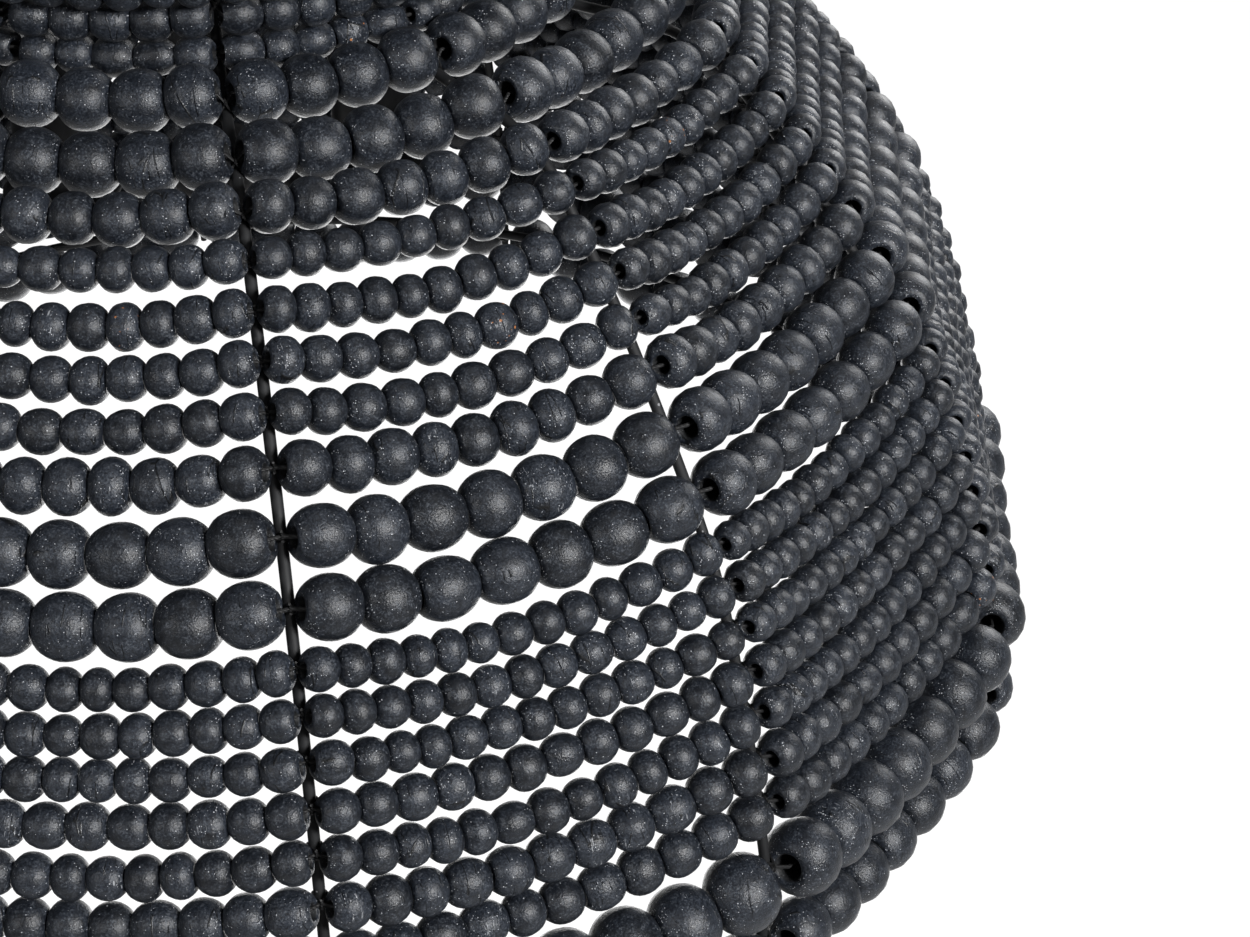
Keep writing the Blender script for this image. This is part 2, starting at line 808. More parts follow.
SLIGHT, FINE, SMALL, STOUT, BOLD = 13.1 * MM, 13.7 * MM, 14.4 * MM, 15.8 * MM, 17.1 * MM
LARGE, HEAVY, RIM = 20.6 * MM, 22.5 * MM, 27 * MM
ROWS = (
    Row("rim_row_2", HEAVY, 7, 0.06, 0.03, 0.96),
    Row("rim_row_1", RIM, 7, 0.06, 0.03),
    Row("lower_row_7", STOUT, 11, 0.06),
    Row("lower_row_6", STOUT, 11, 0.065),
    Row("lower_row_5", SMALL, 13, 0.07),
    Row("lower_row_4", SMALL, 12, 0.055),
    Row("lower_row_3", FINE, 13, 0.06),
    Row("lower_row_2", FINE, 13, 0.068),
    Row("lower_row_1", FINE, 13, 0.073),
    Row("girdle_row_2", LARGE, 7, 0.062, 0.04),
    Row("girdle_row_1", LARGE, 7, 0.065, 0.04),
    Row("upper_row_6", BOLD, 9, 0.072),
    Row("upper_row_5", SMALL, 10, 0.075),
    Row("upper_row_4", SMALL, 10, 0.073),
    Row("upper_row_3", SMALL, 10, 0.07),
    Row("upper_row_2", FINE, 9, 0.05),
    Row("upper_row_1", BOLD, 7, 0.05),
    Row("shoulder_row_2", LARGE, 5, 0.06, 0.04),
    Row("shoulder_row_1", LARGE, 4, 0.04, 0.04),
    Row("neck_row", SLIGHT, 5, 0.04),
    Row("crown_row_4", FINE, 5, 0.04),
    Row("crown_row_3", SLIGHT, 6, 0.04),
    Row("crown_row_2", SLIGHT, 6, 0.04),
    Row("crown_row_1", SLIGHT, 7, 0.04),
    Row("crown_rim_row", BOLD, 5, 0.04),
)


@dataclass(frozen=True)
class Bead:
    """The turned and drilled wooden bead: its form, and how far one differs from the next.

    Attributes:
        fullness: The power of the round side's curve, where 2 is an ellipse.
        roundness: How much wider the curve would be if the drilled faces didn't cut it off.
        hole_share: The hole's radius as a share of the bead's height.
        lip_share: How far out the hole's worn lip reaches, from the hole to the edge of the face.
        lip_sink: How far the lip lies below the face, as a share of the bead's width.
        hole_sink: How deep the hole's wall starts, as a share of the bead's width.
        hole_shade: How dark the hole's wall is, from 0 to 1.
        oval: How oval the bead is.
        lobes: How far its three low lobes stand out.
        taper: How much it gets thinner away from its thickest place.
        tilt: How far it leans on the cord.
        fine_above: The height above which a bead gets a finer mesh.
        fine: The finer mesh's faces along and round.
        plain: The other beads' faces along and round.
    """

    fullness: float = 2.15
    roundness: float = 1.16
    hole_share: float = 0.175
    lip_share: float = 0.25
    lip_sink: float = 0.012
    hole_sink: float = 0.05
    hole_shade: float = 0.8
    oval: float = 0.014
    lobes: float = 0.008
    taper: float = 0.04
    tilt: float = 0.035
    fine_above: float = 18 * MM
    fine: tuple = (12, 20)
    plain: tuple = (9, 14)

    def round_side(self, width: float, height: float, bands: int) -> np.ndarray:
        """Draw the round side.

        Args:
            width: The bead's width along the cord.
            height: Its height across the cord.
            bands: How many faces the side has.

        Returns:
            Places along the cord and radii.
        """
        reach = width / 2 * self.roundness
        last = math.asin(1 / self.roundness)
        along = np.sin(np.linspace(-last, last, bands + 1)) * reach
        radius = height / 2 * (1 - (np.abs(along) / reach) ** self.fullness) ** (1 / self.fullness)
        return np.stack([along, radius], -1)

    def outline(self, width: float, height: float, bands: int) -> np.ndarray:
        """Draw half the section.

        Args:
            width: The bead's width along the cord.
            height: Its height across the cord.
            bands: How many faces its round side has.

        Returns:
            Places along the cord, radii and depths in the hole, as a closed outline.
        """
        hole, half = self.hole_share * height, width / 2
        side = [(along, radius, 0.0) for along, radius in self.round_side(width, height, bands)]
        lip_radius = self.lip_share * side[-1][1] + (1 - self.lip_share) * hole
        lip = [(half - self.lip_sink * width, lip_radius, 0.0),
               (half - self.hole_sink * width, hole, self.hole_shade)]
        return np.array(side + lip + [(-along, radius, depth) for along, radius, depth in lip[::-1]])

    def add(self, draft: Draft, centre: np.ndarray, way: np.ndarray, width: float, height: float,
            chance: np.random.Generator) -> None:
        """Add one bead to a row's mesh.

        Args:
            draft: The row's mesh.
            centre: The bead's middle.
            way: The cord's direction there.
            width: The bead's width along the cord.
            height: Its height across the cord.
            chance: The source of its unevenness.
        """
        bands, around = self.fine if height > self.fine_above else self.plain
        outline = self.outline(width, height, bands)
        angle = angles(around)
        lobes = 1 + self.oval * np.sin(2 * angle + chance.uniform(0, TURN))
        lobes = lobes + self.lobes * np.sin(3 * angle + chance.uniform(0, 6))
        taper = 1 - self.taper * np.abs(outline[:, :1] / width - chance.uniform(-0.5, 0.5))
        radius = outline[:, 1, None] * (lobes / lobes.max()) * taper
        along = outline[:, 0, None] + 0 * angle
        way = way / np.linalg.norm(way) + chance.normal(0, self.tilt, 3)
        way /= np.linalg.norm(way)
        side = np.cross(way, (0.0, 0.0, 1.0))
        side /= np.linalg.norm(side)
        local = np.stack([radius * np.cos(angle), radius * np.sin(angle), along], -1)
        rings = centre + local @ np.array([side, np.cross(side, way), way])
        place = local + chance.uniform(-1, 1, 3)
        tone = np.full(along.shape, chance.uniform(0, 1))
        depth = np.broadcast_to(outline[:, 2, None], along.shape)
        draft.add_grid(rings, True, bead_place=place, bead_tone=tone, bead_hole=depth,
                       bead_edge=np.abs(along) / along.max())


@dataclass
class Strands:
    """The rows of beads and the cords that they are threaded on.

    Attributes:
        bead: The form of the beads.
        rib_count: How many ribs the cords are tied to.
        rib_radius: A rib's radius.
        rib_setback: How far a rib's centre line lies inside the cords.
        cord_radius: The cord's radius.
        tie_setback: How far a cord is drawn back to its tie on a rib.
        clearance: How far beads keep clear of a rib and of the next bay's beads.
        least_gap: How near a bead comes to where the cord passes the rib, at least.
        first_cover: The share of the way between two ribs that the beads are first thought to cover.
        biggest: The largest share of the row's bead height that a bead has.
        smallest: The smallest one.
        usual: The usual one.
        height_spread: How much heights differ, as a share of the row's spread.
        width_spread: How much widths differ, as a share of the row's spread.
        bob: How far a bead sits above or below the cord's line.
        near_midway: Corners this many degrees from midway between two ribs tell where a row hangs.
        path_steps: How many steps a cord makes from rib to rib.
        path_stride: How many of these steps the cord's mesh takes at once.
        yarn_share: The binding's radius as a share of the cord's.
        knot_turns: How often the binding goes round a rib.
        knot_steps: How many points it gets.
        knot_belly: How far it swells beside the rib.
        yarn_room: The space between the rib and the binding's centre line, as a share of its radius.
        yarn_pitch: How far it rises in a turn, as a share of its radius.
        seen_bays: The bays that the photograph shows, where every row has its full hang.
        least_slack: The least share of its hang that a row has in another bay.
        more_slack: How much more than that it can have.
    """

    bead: Bead = Bead()
    rib_count: int = 12
    rib_radius: float = 1.8 * MM
    rib_setback: float = 7.4 * MM
    cord_radius: float = 0.65 * MM
    tie_setback: float = 3.8 * MM
    clearance: float = 0.15 * MM
    least_gap: float = 0.7 * MM
    first_cover: float = 0.95
    biggest: float = 1.01
    smallest: float = 0.88
    usual: float = 0.995
    height_spread: float = 0.5
    width_spread: float = 1.4
    bob: float = 0.22 * MM
    near_midway: float = 0.6
    path_steps: int = 32
    path_stride: int = 3
    yarn_share: float = 0.7
    knot_turns: int = 3
    knot_steps: int = 46
    knot_belly: float = 1.54
    yarn_room: float = 1.1
    yarn_pitch: float = 2.1
    seen_bays: tuple = (0, 1, 11)
    least_slack: float = 0.86
    more_slack: float = 0.12

    def place(self, row: Row) -> tuple[float, float, float]:
        """Read a row's place from its CAD node, midway between two ribs.

        Args:
            row: The row.

        Returns:
            The cord's radius and height at a rib, and how far it hangs lower between two ribs.
        """
        points = node_points(row.node)
        turn = math.pi / self.rib_count
        angle = np.arctan2(points[:, 1], points[:, 0])
        between = points[np.abs(angle - turn) < math.radians(self.near_midway)]
        radius = np.linalg.norm(between[:, :2].mean(0)) / math.cos(turn)
        hang = row.hang * 2 * radius * math.sin(turn)
        return radius, between[:, 2].mean() + hang, hang

    def bay_path(self, place: tuple[float, float, float], bay: int) -> np.ndarray:
        """Lay the cord between two ribs.

        Args:
            place: The row's radius and height at a rib, and its hang.
            bay: The bay, counted from the front towards +X.

        Returns:
            The cord's points.
        """
        radius, height, hang = place
        slack = 1.0 if bay in self.seen_bays else self.least_slack + self.more_slack * math.sin(2.4 * bay) ** 2
        start, end = [outward(rib, self.rib_count) * radius + raised(height) for rib in (bay, bay + 1)]
        share = np.linspace(0, 1, self.path_steps + 1)[:, None]
        path = start + (end - start) * share
        path[:, 2] -= (4 * hang * slack * share * (1 - share))[:, 0]
        return path

    def end_gap(self, row: Row, width: float, upright: float) -> float:
        """Work out how near a row's first bead comes to where the cord passes the rib.

        Args:
            row: The row.
            width: The bead's width.
            upright: How upright the rib stands there, from 0 to 1.

        Returns:
            The way along the cord to the bead's face.
        """
        turn = math.pi / self.rib_count
        side = self.bead.round_side(width, row.bead * self.biggest, 24)
        to_face, radius = width / 2 - np.abs(side[:, 0]), side[:, 1]
        across = (radius * math.sin(turn) + self.clearance) / math.cos(turn) - to_face
        rib_in = self.rib_setback * upright * math.sin(turn)
        rib_deep = math.sqrt(self.rib_setback ** 2 - rib_in ** 2)
        rod = self.rib_radius + self.clearance
        behind = np.maximum(rib_deep - radius, 0) if radius[0] > rib_deep else np.abs(rib_deep - radius)
        beside = np.where(behind < rod, rib_in + np.sqrt(np.maximum(rod ** 2 - behind ** 2, 0)) - to_face, 0)
        return max(self.least_gap, across.max(), beside.max())

    def fill_bay(self, draft: Draft, row: Row, path: np.ndarray, upright: float, chance: np.random.Generator
                 ) -> None:
        """Thread a bay's beads on its cord.

        Args:
            draft: The row's mesh.
            row: The row.
            path: The cord between the two ribs.
            upright: How upright the ribs stand there, from 0 to 1.
            chance: The source of the beads' unevenness.
        """
        walked = np.concatenate([[0], np.cumsum(np.linalg.norm(np.diff(path, axis=0), axis=1))])
        end_gap = self.end_gap(row, self.first_cover * walked[-1] / row.per_bay, upright)
        room = walked[-1] - 2 * end_gap
        spread = self.width_spread * row.spread
        widths = 1 + chance.uniform(-spread, spread, row.per_bay)
        widths *= room * row.fill / widths.sum()
        gap = room * (1 - row.fill) / row.per_bay
        start = end_gap + gap / 2
        for width in widths:
            behind, centre, ahead = [np.array([np.interp(start + share * width, walked, part) for part in path.T])
                                     for share in (0, 0.5, 1)]
            centre[2] += chance.normal(0, self.bob)
            share = min(max(chance.normal(self.usual, self.height_spread * row.spread), self.smallest), self.biggest)
            room_out = CAD_BOUNDS[1][0] - np.abs(centre[:2]).max()
            room_down = centre[2] - CAD_BOUNDS[0][2]
            height = min(row.bead * share, 2 * room_out, 2 * room_down)
            self.bead.add(draft, centre, ahead - behind, width, height, chance)
            start += width + gap

    def knot(self, draft: Draft, place: tuple[float, float, float], rib: int, way: np.ndarray) -> np.ndarray:
        """Bind the cord to a rib.

        Args:
            draft: The cord's mesh.
            place: The row's radius and height at a rib, and its hang.
            rib: The rib, counted from the front towards +X.
            way: The rib's direction there, as a share outwards and a share up.

        Returns:
            Where the cord is drawn back to.
        """
        out, up = outward(rib, self.rib_count), raised(1.0)
        along = out * way[0] + up * way[1]
        normal = out * way[1] - up * way[0]
        yarn = self.yarn_share * self.cord_radius
        back = self.rib_setback + self.rib_radius + yarn
        front = self.tie_setback - self.cord_radius - yarn
        turns = np.linspace(0, self.knot_turns * TURN, self.knot_steps)[:, None]
        centre = out * place[0] + up * place[1] - normal * (back + front) / 2
        belly = self.knot_belly * (self.rib_radius + self.yarn_room * yarn)
        wide = belly * np.sin(turns) * (1 - np.cos(turns)) / 2
        rise = (turns / turns[-1] - 0.5) * self.knot_turns * self.yarn_pitch * yarn
        path = centre + (back - front) / 2 * np.cos(turns) * normal + wide * np.cross(up, out) + rise * along
        draft.rod(path, yarn, 5)
        return centre + normal * ((back + front) / 2 - self.tie_setback)

    def build(self, row: Row, run: np.ndarray) -> list[bpy.types.Object]:
        """Make a row's beads and cord.

        Args:
            row: The row.
            run: The ribs' direction at the row, as a share outwards and a share up.

        Returns:
            The beads' object and the cord's.
        """
        chance = np.random.default_rng([SEED, *row.node.encode()])
        place = self.place(row)
        beads, cord, line = Draft(), Draft(), []
        for bay in range(self.rib_count):
            path = self.bay_path(place, bay)
            self.fill_bay(beads, row, path, run[1], chance)
            line += [self.knot(cord, place, bay, run)[None], path[1:-1:self.path_stride]]
        cord.rod(np.vstack(line), self.cord_radius, 6, True)
        return [beads.piece(f"beads_{row.node}", StainedWood(), Slot.BEADS, row.node, sharp=50),
                cord.piece(f"cord_{row.node}", WaxedCord(), Slot.CORD, sharp=60)]


@dataclass
class Cage:
    """The ribs and the hoops that join their ends.

    Attributes:
        strands: The rows that the ribs carry.
        hoop_radius: The radius of a hoop's rod.
        spur_radius: The radius of a spur's rod.
        end_share: The radius of a rib's deburred ends, as a share.
        span_steps: How many points a rib gets from row to row.
        foot_steps: How many points its straight foot gets.
        foot_gap: How far below the first row its foot starts to be straight.
        head_steps: How many points its head gets.
        weld_sink: How far a weld lies inside the hoop's reach, as a share of the rod's radius.
        lowest: The row that hangs below the bend, where the ribs are straight.
    """

    strands: Strands
    hoop_radius: float = 2.2 * MM
    spur_radius: float = 1.6 * MM
    end_share: float = 0.75
    span_steps: int = 6
    foot_steps: int = 7
    foot_gap: float = 2 * MM
    head_steps: int = 4
    weld_sink: float = 0.05
    lowest: str = "rim_row_2"

    WELD = ((0, -2.3 * MM), (1.1 * MM, -1.7 * MM), (1.6 * MM, 0), (1.1 * MM, 1.7 * MM), (0, 2.3 * MM))

    def line(self) -> tuple[np.ndarray, dict[str, np.ndarray]]:
        """Work out a rib's centre line from the rows' cords.

        Returns:
            Pairs of radius and height from the foot up, and the rib's direction at each row.
        """
        rows = [row for row in ROWS if row.node != self.lowest]
        curve = smooth([self.strands.place(row)[:2] for row in rows], self.span_steps)
        run = np.gradient(curve, axis=0)
        run /= np.linalg.norm(run, axis=1)[:, None]
        run[0] = (0.0, 1.0)
        back = np.stack([-run[:, 1], run[:, 0]], -1) * self.strands.rib_setback
        low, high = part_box("rib_1")
        foot = [(curve[0][0] - self.strands.rib_setback, height)
                for height in np.linspace(low.z, curve[0][1] - self.foot_gap, self.foot_steps)]
        rest = (high.z - curve[-1][1] - back[-1][1]) / run[-1][1] - self.strands.rib_radius
        head = curve[-1] + back[-1] + run[-1] * np.linspace(0, 1, self.head_steps)[1:, None] * rest
        runs = {row.node: run[self.span_steps * index] for index, row in enumerate(rows)}
        runs[self.lowest] = run[0]
        return np.vstack([foot, (curve + back)[1:], head]), runs

    def rib(self, index: int, line: np.ndarray) -> bpy.types.Object:
        """Bend one rib.

        Args:
            index: The rib, counted from the front towards +X.
            line: Its centre line as radius and height.

        Returns:
            The rib.
        """
        path = line[:, :1] * outward(index, self.strands.rib_count) + line[:, 1:] * raised(1.0)
        radii = np.full(len(path), self.strands.rib_radius)
        radii[[0, -1]] *= self.end_share
        draft = Draft()
        draft.rod(path, radii, 12)
        return draft.piece(f"rib_rod_{index + 1}", PowderCoat(), Slot.IRON, f"rib_{index + 1}")

    def hoop(self, node: str) -> bpy.types.Object:
        """Bend a hoop, and weld it or its spurs to the ribs.

        Args:
            node: The hoop's CAD node.

        Returns:
            The hoop with its spurs and welds.
        """
        reach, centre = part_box(node)[1].x, raised(middle(node).z)
        radius = np.linalg.norm(node_points(node)[:, :2], axis=1).min() + self.hoop_radius
        draft = Draft()
        draft.rod(ring_path(radius, centre, 144, True), self.hoop_radius, 12, True)
        for rib in range(self.strands.rib_count):
            out = outward(rib, self.strands.rib_count)
            if reach > radius + 2 * self.hoop_radius:
                draft.rod(np.array([out * radius + centre, out * reach + centre]), self.spur_radius, 10)
            draft.turn(smooth(self.WELD, 3), out * (reach - self.weld_sink * self.hoop_radius) + centre, 12)
        return draft.piece(f"{node}_rod", PowderCoat(), Slot.IRON, node)

    def build(self) -> list[bpy.types.Object]:
        """Make the ribs and hoops."""
        line = self.line()[0]
        ribs = [self.rib(index, line) for index in range(self.strands.rib_count)]
        return ribs + [self.hoop("rim_hoop"), self.hoop("crown_hoop")]


@dataclass
class Suspension:
    """The canopy, ring nut, loops, chain and stem.

    Attributes:
        wall: The canopy's sheet.
        thread_radius: The radius of the threaded loop's body.
        thread_foot: How far below the ceiling that body ends.
        thread_top: How far below the ceiling it starts.
        nipple_radius: The radius of the nipple above it.
        nut_rim: The radius of the ring nut's ends, as a share.
        nut_girth: The radius between its knurls, as a share.
        knurl_rise: How far its knurls stand out, as a share.
        knurl_steps: How many faces go round it.
        knurl_every: How many faces a knurl and its groove take.
        loop_radius: The radius of a loop's centre line.
        loop_wire: The radius of a loop's wire.
        link_wire: The radius of a link's wire.
        link_steps: How many points a link's bend gets.
        seam_share: The radius of a link's seam, as a share.
        coupler_radius: The lower loop's radius.
        coupler_height: Its height.
        coupler_bevel: The bevel at its top.
        stem_hole: The radius of its hole for the stem.
        clearance: The space between a hole and what goes through it.
    """

    wall: float = 1.2 * MM
    thread_radius: float = 12 * MM
    thread_foot: float = 52 * MM
    thread_top: float = 20 * MM
    nipple_radius: float = 5 * MM
    nut_rim: float = 0.9
    nut_girth: float = 0.97
    knurl_rise: float = 0.03
    knurl_steps: int = 120
    knurl_every: int = 4
    loop_radius: float = 9.6 * MM
    loop_wire: float = 2.4 * MM
    link_wire: float = 2.2 * MM
    link_steps: int = 17
    seam_share: float = 0.93
    coupler_radius: float = 10 * MM
    coupler_height: float = 18 * MM
    coupler_bevel: float = 3 * MM
    stem_hole: float = 6.7 * MM
    clearance: float = 0.3 * MM

    CANOPY = ((0.369, 1.0), (0.62, 0.86), (0.83, 0.58), (0.95, 0.28), (1.0, 0.0))

    def canopy(self) -> bpy.types.Object:
        """Spin the canopy, a thin dish with a rolled rim.

        Returns:
            The canopy.
        """
        low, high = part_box("canopy")
        radius, depth = high.x, high.z - low.z
        shares = smooth(self.CANOPY, 8)
        hole = self.thread_radius + self.clearance
        outside = [(hole, -depth), *scaled(shares, radius, -depth)]
        inside = [(out - self.wall, up) for out, up in scaled(shares[::-1], radius, self.wall - depth)]
        draft = Draft()
        draft.turn([*outside, *inside, (hole, self.wall - depth)], raised(high.z), 96, True)
        return draft.piece("canopy_dish", PowderCoat(), Slot.IRON, "canopy", "canopy_cover")

    def ring_nut(self) -> bpy.types.Object:
        """Turn and knurl the ring nut below the canopy.

        Returns:
            The ring nut.
        """
        low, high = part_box("canopy_ring_nut")
        hole, radius, height = self.thread_radius + self.clearance, high.x, high.z - low.z
        rim, girth = radius * self.nut_rim, radius * self.nut_girth
        outline = np.array(eased([(hole, 0), (rim, 0), (girth, height * 0.25), (girth, height * 0.8), (rim, height),
                                  (hole, height)], 0.6 * MM, True))
        angle = angles(self.knurl_steps)
        ridge = np.arange(self.knurl_steps) % self.knurl_every < self.knurl_every / 2
        knurl = 1 + self.knurl_rise * ridge * (outline[:, :1] > radius * 0.93)
        spun = np.minimum(outline[:, :1] * knurl, radius)
        rings = np.stack([spun * np.cos(angle), spun * np.sin(angle), outline[:, 1:] + low.z + 0 * angle], -1)
        draft = Draft()
        draft.add_grid(rings, True)
        return draft.piece("ring_nut", PowderCoat(), Slot.IRON, "canopy_ring_nut", "canopy_cover", 30)

    def canopy_loop(self) -> bpy.types.Object:
        """Turn the threaded loop that carries the chain.

        Returns:
            The loop with its body and nipple.
        """
        low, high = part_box("canopy_loop")
        foot, top = -self.thread_foot, -self.thread_top
        body = thread(foot + 2 * MM, top - 1 * MM, min(high.x, self.thread_radius), 1.5 * MM, 0.45 * MM)
        nipple = thread(top, high.z, self.nipple_radius, 1.0 * MM, 0.35 * MM)
        draft = Draft()
        draft.turn([(0, foot), (0.8 * self.thread_radius, foot), *body, (0.9 * self.thread_radius, top), *nipple,
                    (0, high.z)])
        draft.rod(ring_path(self.loop_radius, raised(low.z + self.loop_radius + self.loop_wire)), self.loop_wire,
                  closed=True)
        return draft.piece("canopy_threaded_loop", PowderCoat(), Slot.IRON, "canopy_loop", "fitting", 35)

    def link(self, index: int) -> bpy.types.Object:
        """Bend a chain link.

        Args:
            index: The link, counted from the top.

        Returns:
            The link, with the seam where its wire meets.
        """
        node = f"chain_link_{index}"
        low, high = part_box(node)
        size = high - low
        width, across = max(size.x, size.y), np.array([1, 0, 0] if size.x > size.y else [0, 1, 0])
        bend = width / 2 - self.link_wire
        straight = size.z / 2 - self.link_wire - bend
        path = [np.array(middle(node)) + across * bend * math.cos(turn + start)
                + raised(bend * math.sin(turn + start) + end * straight)
                for start, end in ((0, 1), (math.pi, -1)) for turn in np.linspace(0, math.pi, self.link_steps)]
        radii = np.full(len(path), self.link_wire)
        radii[self.link_steps - 1:self.link_steps + 1] *= self.seam_share
        draft = Draft()
        draft.rod(np.array(path), radii, closed=True)
        return draft.piece(f"link_{index}_wire", PowderCoat(), Slot.IRON, node, f"link_{index}")

    def stem_loop(self) -> bpy.types.Object:
        """Turn the lower loop, which screws onto the stem.

        Returns:
            The loop with its coupler.
        """
        low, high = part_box("stem_loop")
        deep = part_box("stem")[1].z - low.z + self.clearance
        radius, tall, bevel = self.coupler_radius, self.coupler_height, self.coupler_bevel
        draft = Draft()
        draft.turn(eased([(0, deep), (self.stem_hole, deep), (self.stem_hole, 0), (radius, 0), (radius, tall - bevel),
                          (radius - bevel, tall), (0, tall)], 0.7 * MM), raised(low.z))
        draft.rod(ring_path(self.loop_radius, raised(high.z - self.loop_radius - self.loop_wire)), self.loop_wire,
                  closed=True)
        return draft.piece("stem_coupler", PowderCoat(), Slot.IRON, "stem_loop", sharp=35)

    def stem(self) -> bpy.types.Object:
        """Draw the stem, with a thread at each end.

        Returns:
            The stem.
        """
        low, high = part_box("stem")
        radius = high.x
        threads = [thread(start, end, radius * 0.98, 1.0 * MM, 0.3 * MM)
                   for start, end in ((low.z + 1 * MM, low.z + 7 * MM), (high.z - 13 * MM, high.z - 1 * MM))]
        draft = Draft()
        draft.turn([(0, low.z), (radius * 0.85, low.z), *threads[0], (radius, low.z + 8 * MM),
                    (radius, high.z - 14 * MM), *threads[1], (radius * 0.85, high.z), (0, high.z)])
        return draft.piece("stem_tube", PowderCoat(), Slot.IRON, "stem", sharp=30)

    def build(self) -> list[bpy.types.Object]:
        """Make the suspension."""
        links = [self.link(index) for index in (1, 2, 3)]
        return [self.canopy(), self.ring_nut(), self.canopy_loop(), *links, self.stem_loop(), self.stem()]


@dataclass
class LampCluster:
    """The crown spider, the hub with its arms, and the three candle lamps.

    Attributes:
        spoke_count: How many spokes the spider has.
        spoke_radius: A spoke's radius.
        hub_radius: The radius of the spider's hub.
        stem_hole: The radius of its hole for the stem.
        lamp_count: How many lamps there are.
        lamp_circle: The radius of the circle that they stand on.
        arm_radius: An arm's radius.
        arm_dip: How far an arm dips on its way out.
        lamp_hub_radius: The radius of the hub that the arms come from.
        lamp_hub_height: Its height.
        finial_drop: The height of the finial below it.
        finial_radius: The finial's radius.
        pan_radius: A drip pan's radius.
        pan_height: Its height.
        socket_bore: The radius inside a socket's thread.
        socket_floor: The height of its floor.
        sleeve_wall: A candle sleeve's wall.
        cap_height: The height of a bulb's cap.
        glass_wall: A bulb's wall.
        wire_radius: The radius of its filament.
    """

    spoke_count: int = 4
    spoke_radius: float = 2.5 * MM
    hub_radius: float = 16 * MM
    stem_hole: float = 6.7 * MM
    lamp_count: int = 3
    lamp_circle: float = 62 * MM
    arm_radius: float = 4 * MM
    arm_dip: float = 8 * MM
    lamp_hub_radius: float = 17 * MM
    lamp_hub_height: float = 22 * MM
    finial_drop: float = 20 * MM
    finial_radius: float = 7 * MM
    pan_radius: float = 20 * MM
    pan_height: float = 6 * MM
    socket_bore: float = 7.3 * MM
    socket_floor: float = 9 * MM
    sleeve_wall: float = 1.5 * MM
    cap_height: float = 25 * MM
    glass_wall: float = 0.7 * MM
    wire_radius: float = 0.35 * MM

    WELD = ((0, -3 * MM), (2.4 * MM, -2.2 * MM), (3.3 * MM, 0), (2.4 * MM, 2.2 * MM), (0, 3 * MM))
    FINIAL = ((0.0, 0.0), (0.35, 0.03), (0.8, 0.18), (1.0, 0.42), (0.8, 0.66), (0.5, 0.8), (0.62, 0.9))
    HUB = ((0.62, 0.0), (0.9, 0.12), (1.0, 0.35), (1.0, 0.65), (0.86, 0.85), (0.5, 1.0), (0.0, 1.0))
    ARM = ((0.1, 0.0), (0.34, 0.0), (0.72, 1.0), (0.96, 0.5))
    PAN = ((0.0, 0.0), (0.35, 0.0), (0.62, 0.12), (0.88, 0.36), (1.0, 0.62), (1.0, 0.95), (0.95, 1.0), (0.9, 0.8),
           (0.7, 0.62), (0.3, 0.6), (0.24, 1.0), (0.0, 1.0))
    FLAME = ((0.36, 0.0), (0.48, 0.1), (0.66, 0.27), (0.93, 0.44), (1.0, 0.56), (0.87, 0.74), (0.5, 0.9),
             (0.16, 0.985), (0.01, 1.0))
    FILAMENT = ((1.2 * MM, 0.28), (4.0 * MM, 0.36), (4.6 * MM, 0.5), (3.4 * MM, 0.72), (1.2 * MM, 0.78))

    def spider(self) -> bpy.types.Object:
        """Weld the spider that carries the cage on the stem.

        Returns:
            The spider with its hub, spokes and welds.
        """
        low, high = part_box("crown_spider")
        centre, half = raised((low.z + high.z) / 2), (high.z - low.z) / 2
        draft = Draft()
        draft.turn(eased([(self.stem_hole, -half), (self.hub_radius, -half), (self.hub_radius, half),
                          (self.stem_hole, half)], 1.0 * MM, True), centre, closed=True)
        for spoke in range(self.spoke_count):
            out = outward(spoke, self.spoke_count)
            reach = np.linspace(self.hub_radius - 2 * MM, high.x, 12)[:, None]
            draft.rod(out * reach + centre, self.spoke_radius)
            draft.turn(self.WELD, out * (self.hub_radius + 0.2 * MM) + centre, 14)
        return draft.piece("spider_hub_and_spokes", PowderCoat(), Slot.IRON, "crown_spider")

    def places(self) -> list[np.ndarray]:
        """Give the foot of each lamp's axis."""
        return [np.array(middle(f"socket_{lamp + 1}")) * (1, 1, 0) for lamp in range(self.lamp_count)]

    def arms(self) -> bpy.types.Object:
        """Turn the hub and pans, and bend an arm to each lamp.

        Returns:
            The hub with its finial, arms and pans.
        """
        low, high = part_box("lamp_arms")
        lift, tall = low.z + self.finial_drop, self.lamp_hub_height
        pan = eased(scaled(self.PAN, self.pan_radius, self.pan_height), 0.5 * MM)
        draft = Draft()
        draft.turn([*scaled(smooth(self.FINIAL, 4), self.finial_radius, self.finial_drop, low.z),
                    *scaled(smooth(self.HUB, 4), self.lamp_hub_radius, tall, lift)])
        for place in self.places():
            out = place / np.linalg.norm(place)
            route = [out * self.lamp_circle * share + raised(lift + tall / 2 - dip * self.arm_dip)
                     for share, dip in self.ARM]
            route.append(out * self.lamp_circle + raised(high.z - self.pan_height / 2))
            draft.rod(smooth(route, 8), self.arm_radius)
            draft.turn(pan, place + raised(high.z - self.pan_height))
        return draft.piece("lamp_hub_arms_and_pans", PowderCoat(), Slot.IRON, "lamp_arms")

